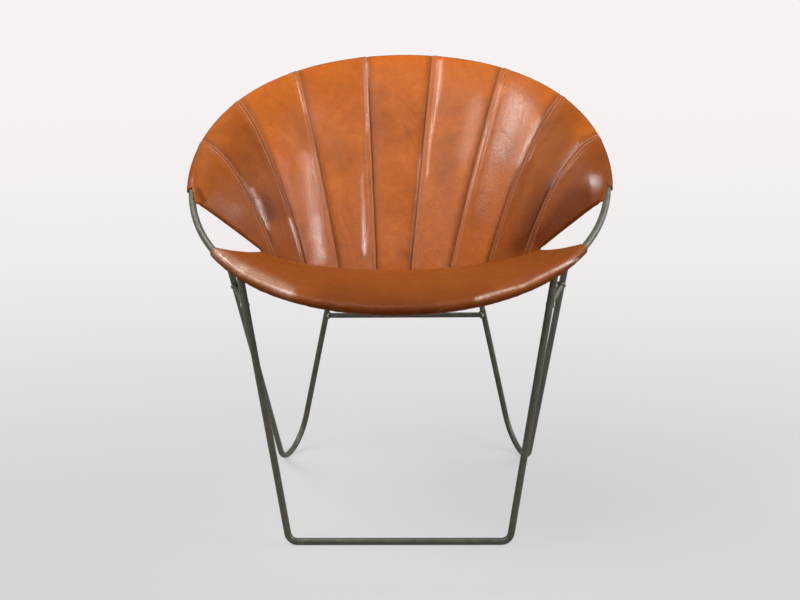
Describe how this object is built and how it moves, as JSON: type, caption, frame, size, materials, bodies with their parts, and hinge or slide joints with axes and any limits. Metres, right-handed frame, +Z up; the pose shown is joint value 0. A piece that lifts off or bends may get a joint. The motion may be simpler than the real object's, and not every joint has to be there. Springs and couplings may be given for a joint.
{
  "type": "round leather sling chair",
  "caption": "Round lounge chair: a tilted steel-rod hoop on bent-rod legs holds a bucket of sewn leather, a fan of back panels and one smooth seat panel.",
  "frame": {"origin": "on the floor, under the centre of the rim hoop, which is the middle of the chair's outline seen from above", "axes": "+Z up; the sitter faces -Y, so +Y points to the back of the chair; +X to the right of someone who stands in front and looks at it"},
  "size_m": [0.7392, 0.6495, 0.7807],
  "materials": {
    "frame_steel": "raw drawn steel rod, dark olive grey, clear waxed, satin",
    "weld_steel": "fillet weld beads, left as welded and wire brushed",
    "thread": "waxed linen thread, pale tan, for the stitches of the visual model",
    "leather": "thick vegetable-tanned leather, cognac brown, mottled and waxed to a gloss"
  },
  "bodies": {
    "root": {"rim_hoop": "frame_steel", "front_leg_loop": "frame_steel", "rear_leg_left": "frame_steel", "rear_leg_right": "frame_steel", "rear_crossbar": "frame_steel", "side_brace_left": "frame_steel", "side_brace_right": "frame_steel", "weld_front_leg_left": "weld_steel", "weld_front_leg_right": "weld_steel", "weld_rear_leg_left": "weld_steel", "weld_rear_leg_right": "weld_steel", "weld_upright_left": "weld_steel", "weld_upright_right": "weld_steel", "weld_brace_rear_left": "weld_steel", "weld_brace_rear_right": "weld_steel", "weld_brace_front_left": "weld_steel", "weld_brace_front_right": "weld_steel", "weld_crossbar_left": "weld_steel", "weld_crossbar_right": "weld_steel", "back_panel_1": "leather", "back_panel_2": "leather", "back_panel_3": "leather", "back_panel_4": "leather", "back_panel_5": "leather", "back_panel_6": "leather", "back_panel_7": "leather", "back_panel_8": "leather", "back_panel_9": "leather", "seat_panel": "leather"}
  },
  "joints": []
}
